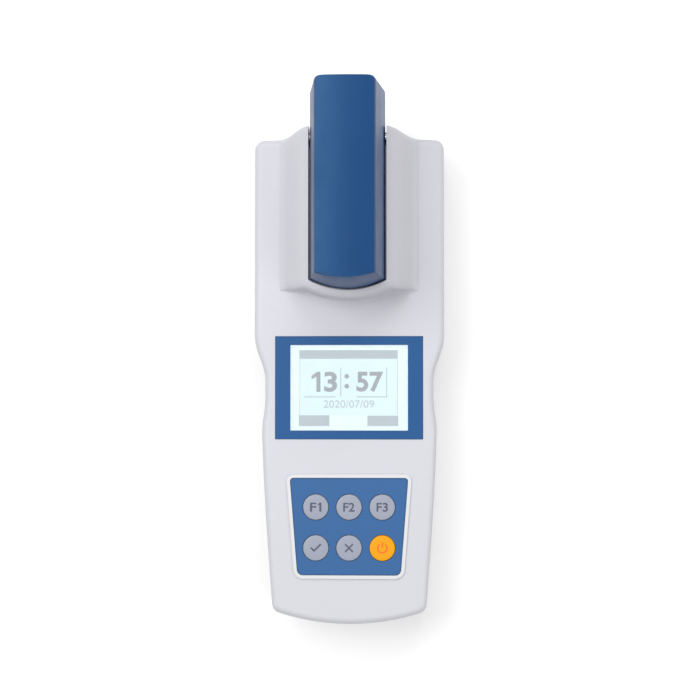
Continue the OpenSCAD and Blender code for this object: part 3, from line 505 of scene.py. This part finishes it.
def softened(node, name, *finish_names, width=None, angle=32.0, paint=None):
    """A joined, smooth copy of a CAD node with softened edges."""
    bm = bmesh.new()
    bm.from_mesh(NODES[node].data)
    for layer in (bm.loops.layers.float_vector, bm.loops.layers.float):
        for found in list(layer.values()):
            layer.remove(found)
    bmesh.ops.remove_doubles(bm, verts=bm.verts, dist=0.002 * MM)
    bmesh.ops.dissolve_degenerate(bm, edges=bm.edges, dist=0.001 * MM)
    bmesh.ops.dissolve_limit(bm, angle_limit=math.radians(0.4), verts=bm.verts, edges=bm.edges,
                             use_dissolve_boundaries=False)
    for face in bm.faces:
        face.material_index = paint(face) if paint else 0
    piece = new_piece(name, bm)
    for attribute in [a for a in piece.data.attributes if a.name == "custom_normal"]:
        piece.data.attributes.remove(attribute)
    smooth(piece, angle)
    bevel = piece.modifiers.new("edges", "BEVEL")
    bevel.width = size("fine_edge") if width is None else width
    bevel.segments = 2
    bevel.limit_method = "ANGLE"
    bevel.angle_limit = math.radians(angle)
    bevel.harden_normals = True
    weighted = piece.modifiers.new("normals", "WEIGHTED_NORMAL")
    weighted.keep_sharp = True
    return settle(piece, node, *finish_names)


def turned(bm, profile, place=Matrix(), steps=64):
    """Adds a solid of revolution about the local Z from (radius, height) pairs, and returns its new faces."""
    before = set(bm.faces)
    verts = [bm.verts.new((r * MM, 0, z * MM)) for r, z in profile]
    edges = [bm.edges.new(pair) for pair in zip(verts, verts[1:])]
    bmesh.ops.spin(bm, geom=verts + edges, cent=(0, 0, 0), axis=(0, 0, 1), angle=2 * math.pi, steps=steps,
                   use_merge=True)
    faces = [f for f in bm.faces if f not in before]
    new_verts = list({v for f in faces for v in f.verts})
    bmesh.ops.remove_doubles(bm, verts=new_verts, dist=0.0005 * MM)
    faces = [f for f in bm.faces if f not in before]
    bmesh.ops.recalc_face_normals(bm, faces=faces)
    bmesh.ops.transform(bm, matrix=place, verts=list({v for f in faces for v in f.verts}))
    return faces


def plate(bm, outline, low, high):
    """Adds a flat plate with the outline's (x, y) corners."""
    face = bm.faces.new([bm.verts.new((x * MM, y * MM, low * MM)) for x, y in outline])
    raised = bmesh.ops.extrude_face_region(bm, geom=[face])
    verts = [v for v in raised["geom"] if isinstance(v, bmesh.types.BMVert)]
    bmesh.ops.translate(bm, verts=verts, vec=(0, 0, (high - low) * MM))
    shell = {face} | {f for v in verts for f in v.link_faces}
    bmesh.ops.recalc_face_normals(bm, faces=list(shell))


def bar(bm, x0, x1, y0, y1, low, high):
    plate(bm, [(x0, y0), (x1, y0), (x1, y1), (x0, y1)], low, high)


def cross_outline(arm, half):
    """Corners of an upright cross from the length of an arm and half its width."""
    return [(half, half), (half, arm), (-half, arm), (-half, half), (-arm, half), (-arm, -half),
            (-half, -half), (-half, -arm), (half, -arm), (half, -half), (arm, -half), (arm, half)]


def meshed(data):
    """The mesh of a text or curve, which is then removed."""
    holder = bpy.data.objects.new(data.name, data)
    bpy.context.scene.collection.objects.link(holder)
    mesh = bpy.data.meshes.new_from_object(holder.evaluated_get(bpy.context.evaluated_depsgraph_get()))
    bpy.data.objects.remove(holder)
    bpy.data.curves.remove(data)
    return mesh


def glyphs(bm, body, height, centre, low, high, width=None, bold=0.0):
    """Adds plain characters, scaled to a height and perhaps a width, round a centre."""
    text = bpy.data.curves.new("glyphs", "FONT")
    text.body = body
    text.extrude = 0.5
    text.offset = bold
    mesh = meshed(text)
    corners = [[min(v.co[i] for v in mesh.vertices), max(v.co[i] for v in mesh.vertices)] for i in range(3)]
    middle = Vector([sum(c) / 2 for c in corners])
    span = [c[1] - c[0] for c in corners]
    tall = height * MM / span[1]
    wide = width * MM / span[0] if width else tall
    thick = (high - low) * MM / span[2]
    place = Matrix.Translation((centre[0] * MM, centre[1] * MM, (low + high) / 2 * MM))
    mesh.transform(place @ Matrix.Diagonal((wide, tall, thick, 1)) @ Matrix.Translation(-middle))
    bm.from_mesh(mesh)
    bpy.data.meshes.remove(mesh)


# Pieces

# The keypad's rim is what the front shell has above this height and towards the keypad from this place
RIM_ABOVE = 37.02
RIM_BELOW_Y = -48


class ANALYZER_OT_shells(bpy.types.Operator):
    """Front and rear shells, the seal between them and the battery door"""
    bl_idname = "analyzer.shells"
    bl_label = "Case shells"

    def execute(self, context):
        def painted(face):
            middle = face.calc_center_median() / MM
            on_rim = middle.z > RIM_ABOVE and middle.y < RIM_BELOW_Y and face.normal.z > -0.1
            return 1 if on_rim else 0

        softened("front_shell", "front_housing", "case_plastic", "rim_plastic", width=size("edge"),
                 paint=painted)
        softened("rear_shell", "rear_housing", "case_plastic", width=size("edge"))
        softened("battery_door", "battery_hatch", "case_plastic")
        dress("soft_rubber", "case_seal")
        return {"FINISHED"}


class ANALYZER_OT_cover(bpy.types.Operator):
    """Light cover with its liner, the seal on the deck and the hinge pin"""
    bl_idname = "analyzer.cover"
    bl_label = "Light cover"

    def execute(self, context):
        softened("light_cover", "sample_hood", "cover_plastic", width=0.4 * MM)
        softened("cover_liner", "hood_liner", "black_plastic")
        dress("soft_rubber", "cover_seal")
        softened("hinge_pin", "hood_pin", "plated_steel")
        return {"FINISHED"}


# The display's layout in millimetres: boxes are (left, right, foot, head)
LCD_TOP = 34.15
LCD_FIELD_RISE = 0.03
LCD_FIGURE_RISE = 0.05
LCD_FIELD = (-22.7, 22.15, -25.45, 0.35)
LCD_HEADER = (-22.8, 22.15, 0.35, 4.25)
LCD_SOFT_KEYS = ((-23.0, -9.05, -30.3, -25.45), (8.3, 22.4, -30.3, -25.6))
LCD_RULES = ((-3.96, -3.68, -16.85, -3.8), (16.97, 17.24, -16.85, -3.6), (-20.6, -6.3, -17.2, -16.9),
             (3.4, 17.4, -17.2, -16.9))
LCD_SIDES = ((-22.7, -22.48, -25.4, 0.35), (21.9, 22.12, -25.4, 0.35))
# The digits with width and middle, the colon's height and middle, and the date's height, middle and width
LCD_DIGITS = (("3", 5.9, -8.5), ("57", 12.2, 9.4))
LCD_DIGIT_H = 9.2
LCD_DIGIT_Y = -10.15
LCD_COLON = (6.6, (-1.1, -9.9))
LCD_DATE = (3.4, (-0.2, -20.3), 23.0)
# Outline of the first digit, which the built-in font draws as a bare bar
LCD_ONE = ((-13.15, -14.75), (-13.15, -5.55), (-14.5, -5.55), (-17.2, -7.4), (-17.2, -9.0), (-14.95, -7.85),
           (-14.95, -14.75))


class ANALYZER_OT_display(bpy.types.Operator):
    """Bezel, window, frame and lit glass with its figures"""
    bl_idname = "analyzer.display"
    bl_label = "Display"

    def execute(self, context):
        softened("display_bezel", "display_surround", "bezel_plastic", width=0.25 * MM)
        softened("display_window", "display_pane", "window_glass", width=0.1 * MM)
        dress("plated_steel", "lcd_frame")
        dress("lcd_border", "lcd_glass")
        dress("diffuser_plastic", "lcd_backlight")
        low, field, high = LCD_TOP, LCD_TOP + LCD_FIELD_RISE, LCD_TOP + LCD_FIGURE_RISE

        def drawn(name, finish_name, bm):
            settle(new_piece(name, bm), "lcd_glass", finish_name, replace=False)

        bm = bmesh.new()
        bar(bm, *LCD_FIELD, low, field)
        drawn("lcd_lit_field", "lcd_field", bm)
        bm = bmesh.new()
        for box in (LCD_HEADER, *LCD_SOFT_KEYS):
            bar(bm, *box, low, high)
        drawn("lcd_bars", "lcd_faint", bm)
        bm = bmesh.new()
        plate(bm, LCD_ONE, field, high)
        for digits, wide, middle in LCD_DIGITS:
            glyphs(bm, digits, LCD_DIGIT_H, (middle, LCD_DIGIT_Y), field, high, wide, bold=0.03)
        glyphs(bm, ":", *LCD_COLON, field, high, bold=0.02)
        for box in LCD_RULES:
            bar(bm, *box, field, high)
        drawn("lcd_figures", "lcd_segment", bm)
        bm = bmesh.new()
        date_height, date_middle, date_width = LCD_DATE
        glyphs(bm, "2020/07/09", date_height, date_middle, field, high, date_width)
        for box in LCD_SIDES:
            bar(bm, *box, field, high)
        drawn("lcd_small_figures", "lcd_faint", bm)
        return {"FINISHED"}


# A key's half section in millimetres: stem, flange under the overlay, wall, rounded rim and crown
KEY_TOP = 37.9
KEY_PROFILE = [
    (0, 34.0), (2, 34.0), (2, 35.35), (6.9, 35.35), (6.9, 36.35), (5.75, 36.35), (5.75, 37.5), (5.7, 37.64),
    (5.58, 37.74), (5.4, 37.79), (3.6, 37.85), (1.8, 37.89), (0, KEY_TOP)]
# The crown falls by this times the square of the distance from its middle, in millimetres
KEY_CROWN = 0.0038
LEGEND_H = 4.1
LEGEND_W = 5.2
# Flag that turns the built-in font's bare bar into a one
ONE_FLAG = [(2.0, 2.05), (0.95, 1.35), (0.95, 0.75), (2.0, 1.4)]
TICK = [(-2.5, -0.1), (-0.75, -1.85), (2.6, 1.5), (2.05, 2.05), (-0.75, -0.75), (-1.95, 0.45)]
CROSS_ARM = 2.5
CROSS_HALF = 0.36
POWER_BAR = (-0.34, 0.34, 0.3, 2.7)
POWER_RING = (1.75, 2.4)
POWER_GAP = math.radians(38)
# Each key's middle and its legend
KEYS = {
    "key_f1": (-15.1, -67.05, "F1"), "key_f2": (0, -67.05, "F2"), "key_f3": (15.1, -67.05, "F3"),
    "key_enter": (-15.1, -85.55, "tick"), "key_cancel": (0, -85.55, "cross"),
    "key_power": (15.1, -85.55, "power")}


def key_crown(radius):
    return KEY_TOP - KEY_CROWN * radius ** 2


def draw_tick(bm, low, high):
    plate(bm, TICK, low, high)


def draw_cross(bm, low, high):
    turn = math.radians(45)
    plate(bm, [(x * math.cos(turn) - y * math.sin(turn), x * math.sin(turn) + y * math.cos(turn))
               for x, y in cross_outline(CROSS_ARM, CROSS_HALF)], low, high)


def draw_power(bm, low, high):
    bar(bm, *POWER_BAR, low, high)
    inner, outer = POWER_RING
    verts = [bm.verts.new((r * MM * math.sin(POWER_GAP), r * MM * math.cos(POWER_GAP), z * MM))
             for r, z in ((inner, low), (outer, low), (outer, high), (inner, high))]
    section = bm.faces.new(verts)
    bmesh.ops.spin(bm, geom=[section, *section.edges, *section.verts], cent=(0, 0, 0), axis=(0, 0, -1),
                   angle=2 * (math.pi - POWER_GAP), steps=36)
    bmesh.ops.recalc_face_normals(bm, faces=bm.faces)


class ANALYZER_OT_keypad(bpy.types.Operator):
    """Overlay, six keys with their legends, domes and the keypad board"""
    bl_idname = "analyzer.keypad"
    bl_label = "Keypad"

    def execute(self, context):
        softened("keypad_overlay", "keypad_film", "overlay_film", width=0.15 * MM)
        marks = {"tick": draw_tick, "cross": draw_cross, "power": draw_power}
        ink_height = size("ink") / MM
        for node, (x, y, legend) in KEYS.items():
            bm = bmesh.new()
            turned(bm, KEY_PROFILE, Matrix.Translation((x * MM, y * MM, 0)), 72)
            cap = smooth(new_piece(node.replace("key", "cap"), bm), 40)
            settle(cap, node, "power_plastic" if node == "key_power" else "key_plastic")
            bm = bmesh.new()
            if legend in marks:
                marks[legend](bm, 0.0, ink_height)
            else:
                glyphs(bm, legend, LEGEND_H, (0, 0), 0.0, ink_height, LEGEND_W, bold=0.02)
                if legend.endswith("1"):
                    plate(bm, ONE_FLAG, 0.0, ink_height)
            for vert in bm.verts:
                vert.co.z += key_crown(vert.co.xy.length / MM) * MM
            bmesh.ops.translate(bm, verts=bm.verts, vec=(x * MM, y * MM, 0))
            ink = "power_ink" if node == "key_power" else "legend_ink"
            settle(new_piece(node.replace("key", "legend"), bm), node, ink, replace=False)
        dress("spring_steel", "key_domes")
        dress("board_mask", "keypad_board")
        dress("flat_film", "keypad_cable")
        dress("plated_steel", "keypad_screws")
        return {"FINISHED"}


def cross_head(bm, radius, height, place):
    """Adds a domed screw head with a cross recess, its face up at the local z = height."""
    before = set(bm.verts)
    mouth = 0.56 * radius
    dome = [(mouth, height), (0.8 * radius, height - 0.12), (0.96 * radius, height - 0.45)]
    turned(bm, dome + [(radius, 0.35 * height), (radius, 0), (0, 0)], steps=24)
    new = [v for v in bm.verts if v not in before]
    hole = [e for e in bm.edges if e.is_boundary and set(e.verts) <= set(new)]
    verts = [bm.verts.new((x * MM, y * MM, height * MM)) for x, y in cross_outline(0.9 * mouth, 0.2 * mouth)]
    loop = [bm.edges.new(pair) for pair in zip(verts, verts[1:] + verts[:1])]
    bmesh.ops.bridge_loops(bm, edges=hole + loop)
    sunk = bmesh.ops.extrude_edge_only(bm, edges=loop)["geom"]
    low = [v for v in sunk if isinstance(v, bmesh.types.BMVert)]
    bmesh.ops.scale(bm, vec=(0.7, 0.7, 1), verts=low)
    bmesh.ops.translate(bm, vec=(0, 0, -0.6 * height * MM), verts=low)
    bmesh.ops.contextual_create(bm, geom=[e for e in sunk if isinstance(e, bmesh.types.BMEdge)])
    new = [v for v in bm.verts if v not in before]
    bmesh.ops.recalc_face_normals(bm, faces=list({f for v in new for f in v.link_faces}))
    bmesh.ops.transform(bm, matrix=place, verts=new)


# Places of the case screws, their head's radius and height, its seat and the shank's half section
CASE_SCREWS = [(-37, 85.45), (37, 85.45), (-33.17, -24.55), (33.17, -24.55)]
SCREW_HEAD = (2.8, 2.0)
SCREW_SEAT = 6.0
SCREW_SHANK = [(0, 5.9), (1.5, 5.9), (1.5, 30.6), (1.1, 31.2), (0, 31.2)]


class ANALYZER_OT_fasteners(bpy.types.Operator):
    """Case screws with cross recesses, and the plain screws of the boards inside"""
    bl_idname = "analyzer.fasteners"
    bl_label = "Screws"

    def execute(self, context):
        bm = bmesh.new()
        flip = Matrix.Rotation(math.pi, 4, "X")
        for x, y in CASE_SCREWS:
            cross_head(bm, *SCREW_HEAD, Matrix.Translation((x * MM, y * MM, SCREW_SEAT * MM)) @ flip)
            turned(bm, SCREW_SHANK, Matrix.Translation((x * MM, y * MM, 0)), 24)
        settle(smooth(new_piece("housing_screws", bm), 35), "case_screws", "plated_steel")
        dress("plated_steel", "board_screws", "holder_screws", "optics_screws")
        return {"FINISHED"}


class ANALYZER_OT_feet(bpy.types.Operator):
    """Rubber feet on the rear shell and the battery door"""
    bl_idname = "analyzer.feet"
    bl_label = "Rubber feet"

    def execute(self, context):
        softened("case_feet", "housing_pads", "soft_rubber", width=0.35 * MM)
        softened("door_feet", "hatch_pads", "soft_rubber", width=0.35 * MM)
        return {"FINISHED"}


class ANALYZER_OT_optics(bpy.types.Operator):
    """Sample cell holder with its lamp, lens, filter and detector"""
    bl_idname = "analyzer.optics"
    bl_label = "Optics"

    def execute(self, context):
        softened("cell_holder", "sample_well", "black_plastic")
        dress("lens_glass", "lamp", "lens")
        dress("filter_glass", "filter")
        dress("plated_steel", "filter_ring", "photodiode")
        dress("board_mask", "lamp_board", "detector_board")
        dress("flat_film", "optics_cables")
        return {"FINISHED"}


class ANALYZER_OT_electronics(bpy.types.Operator):
    """Main board and its chips"""
    bl_idname = "analyzer.electronics"
    bl_label = "Main board"

    def execute(self, context):
        dress("board_mask", "main_board")
        dress("black_plastic", "board_chips")
        return {"FINISHED"}


# The battery bay in millimetres: the cells' pitch and height, and the bay's middle and half length
CELL_PITCH = 14.8
CELL_X = [(i - 1.5) * CELL_PITCH for i in range(4)]
CELL_Z = 10.55
BAY_MIDDLE = -74.45
BAY_HALF = 29.1
# A cell's half section from its flat end to its button, and the stretch that the sleeve covers
CELL_PROFILE = [
    (0, 7.0), (6.4, 7.0), (6.9, 7.25), (6.9, 7.6), (7.25, 7.7), (7.25, 55.2), (7.0, 55.7), (6.3, 55.9),
    (5.6, 56.2), (2.75, 56.3), (2.75, 57.2), (2.5, 57.5), (0, 57.5)]
SLEEVE_FROM = 7.65
SLEEVE_TO = 55.6
# A face this near a cell's axis is taken as the cell's own
CELL_REACH = 8
# The coil springs: wire radius, radii and heights from the contact to the cell, turns and points
WIRE_RADIUS = 0.4
COIL_RADII = (4.2, 2.6)
COIL_HEIGHTS = (0.9, 6.55)
COIL_TURNS = 4
COIL_POINTS = 72


def cell_place(index):
    """Where a cell's own axis, from its spring to its button end, lies in the case."""
    turn = -90 if index % 2 == 0 else 90
    start = BAY_MIDDLE - BAY_HALF if index % 2 == 0 else BAY_MIDDLE + BAY_HALF
    return Matrix.Translation((CELL_X[index] * MM, start * MM, CELL_Z * MM)) @ Matrix.Rotation(
        math.radians(turn), 4, "X")


def coil_mesh():
    """A conical coil of round wire along the local Z."""
    coil = bpy.data.curves.new("coil", "CURVE")
    coil.dimensions = "3D"
    coil.bevel_depth = WIRE_RADIUS * MM
    coil.bevel_resolution = 2
    coil.use_fill_caps = True
    spline = coil.splines.new("POLY")
    spline.points.add(COIL_POINTS)
    for k, point in enumerate(spline.points):
        along = k / COIL_POINTS
        radius, height = (ends[0] + (ends[1] - ends[0]) * along for ends in (COIL_RADII, COIL_HEIGHTS))
        angle = 2 * math.pi * COIL_TURNS * along
        point.co = (radius * math.cos(angle) * MM, radius * math.sin(angle) * MM, height * MM, 1)
    return meshed(coil)


class ANALYZER_OT_batteries(bpy.types.Operator):
    """Four cells in their tray, with contacts and coil springs"""
    bl_idname = "analyzer.batteries"
    bl_label = "Batteries"

    def execute(self, context):
        softened("battery_tray", "cell_tray", "black_plastic", width=0.15 * MM)
        dress("spring_steel", "battery_contacts")
        bm = bmesh.new()
        for index in range(4):
            place = cell_place(index)
            turned(bm, CELL_PROFILE, place, 48)
            inverse = place.inverted()
            for face in bm.faces:
                local = inverse @ face.calc_center_median() / MM
                if math.hypot(local.x, local.y) < CELL_REACH and SLEEVE_FROM < local.z < SLEEVE_TO:
                    face.material_index = 1
        settle(smooth(new_piece("cells", bm), 35), "batteries", "spring_steel", "cell_sleeve")
        bm = bmesh.new()
        for index in range(4):
            mesh = coil_mesh()
            mesh.transform(cell_place(index))
            bm.from_mesh(mesh)
            bpy.data.meshes.remove(mesh)
        settle(smooth(new_piece("coil_springs", bm), 50), "battery_springs", "spring_steel")
        return {"FINISHED"}


# Each lamp's name, place in metres, width and power
LAMPS = (("key_light", (-0.5, 0.26, 1.05), 0.7, 6.0), ("fill_light", (0.85, -0.45, 1.1), 0.9, 4.4),
         ("end_light", (0.05, 0.55, 0.65), 0.5, 1.9))
LAMP_AIM = Vector((0, 0, 0.02))
CAMERA_TARGET = Vector((0.45 * MM, 4.3 * MM, 37 * MM))


class ANALYZER_OT_stage(bpy.types.Operator):
    """Pale floor, white surroundings, soft lamps and the camera"""
    bl_idname = "analyzer.stage"
    bl_label = "Stage"

    def execute(self, context):
        scene = context.scene
        scene.view_settings.view_transform = "Standard"
        world = bpy.data.worlds.new("studio")
        scene.world = world
        world.use_nodes = True
        graph = Graph(world.node_tree)
        seen = self.straight(graph)
        graph.feed(world.node_tree.nodes["Background"], "Color", (1, 1, 1, 1))
        graph.feed(world.node_tree.nodes["Background"], "Strength", graph.ranged(seen, 0, 1, 0.5, 1.0))

        bm = bmesh.new()
        bmesh.ops.create_grid(bm, x_segments=8, y_segments=8, size=3.0)
        floor = new_piece("studio_floor", bm)
        paint, graph, shader = blank("studio_paint", Roughness=0.7, Emission_Strength=0.3)
        tone = graph.ranged(graph.noise(3.0, 2.0), 0.3, 0.7, 0.71, 0.73)
        graph.feed(shader, "Base Color", graph.grey(tone))
        graph.feed(shader, "Emission Color", graph.grey(self.straight(graph)))
        floor.data.materials.append(paint)

        for lamp in LAMPS:
            self.lamp(*lamp)

        data = bpy.data.cameras.new("camera")
        data.lens = size("lens")
        data.sensor_width = 36
        camera = bpy.data.objects.new("camera", data)
        offset = Vector((size("camera_side"), -size("camera_foot"), size("camera_height")))
        camera.location = CAMERA_TARGET + offset
        back = (camera.location - CAMERA_TARGET).normalized()
        right = Vector((0, 1, 0)).cross(back).normalized()
        camera.rotation_euler = Matrix((right, back.cross(right), back)).transposed().to_euler()
        scene.collection.objects.link(camera)
        scene.camera = camera
        return {"FINISHED"}

    @staticmethod
    def straight(graph):
        """1 where the camera sees a surface itself, in a mirror or through glass."""
        rays = graph.add("ShaderNodeLightPath").outputs
        return graph.math("MAXIMUM", graph.math("MAXIMUM", rays["Is Camera Ray"], rays["Is Glossy Ray"]),
                          rays["Is Transmission Ray"])

    @staticmethod
    def lamp(name, where, width, power):
        data = bpy.data.lights.new(name, "AREA")
        data.shape = "DISK"
        data.size = width
        data.energy = power
        lamp = bpy.data.objects.new(name, data)
        lamp.location = where
        lamp.rotation_euler = (LAMP_AIM - lamp.location).to_track_quat("-Z", "Y").to_euler()
        bpy.context.scene.collection.objects.link(lamp)


OPERATORS = (
    ANALYZER_OT_stage, ANALYZER_OT_shells, ANALYZER_OT_cover, ANALYZER_OT_display, ANALYZER_OT_keypad,
    ANALYZER_OT_fasteners, ANALYZER_OT_feet, ANALYZER_OT_optics, ANALYZER_OT_electronics,
    ANALYZER_OT_batteries)


class ANALYZER_PT_panel(bpy.types.Panel):
    """Lists the analyzer's pieces, sizes and colours"""
    bl_idname = "ANALYZER_PT_panel"
    bl_label = "Analyzer"
    bl_space_type = "VIEW_3D"
    bl_region_type = "UI"
    bl_category = "Analyzer"

    def draw(self, context):
        column = self.layout.column()
        for operator in OPERATORS:
            column.operator(operator.bl_idname)
        for group in (context.scene.analyzer_sizes, context.scene.analyzer_colours):
            for name in group.__annotations__:
                column.prop(group, name)


CLASSES = (AnalyzerColours, AnalyzerSizes, *OPERATORS, ANALYZER_PT_panel)


def register():
    for cls in CLASSES:
        bpy.utils.register_class(cls)
    bpy.types.Scene.analyzer_colours = PointerProperty(type=AnalyzerColours)
    bpy.types.Scene.analyzer_sizes = PointerProperty(type=AnalyzerSizes)


def unregister():
    del bpy.types.Scene.analyzer_sizes
    del bpy.types.Scene.analyzer_colours
    for cls in reversed(CLASSES):
        bpy.utils.unregister_class(cls)


def main():
    register()
    bpy.ops.analyzer.stage()
    bpy.ops.analyzer.shells()
    bpy.ops.analyzer.cover()
    bpy.ops.analyzer.display()
    bpy.ops.analyzer.keypad()
    bpy.ops.analyzer.fasteners()
    bpy.ops.analyzer.feet()
    bpy.ops.analyzer.optics()
    bpy.ops.analyzer.electronics()
    bpy.ops.analyzer.batteries()


if __name__ == "__main__":
    main()
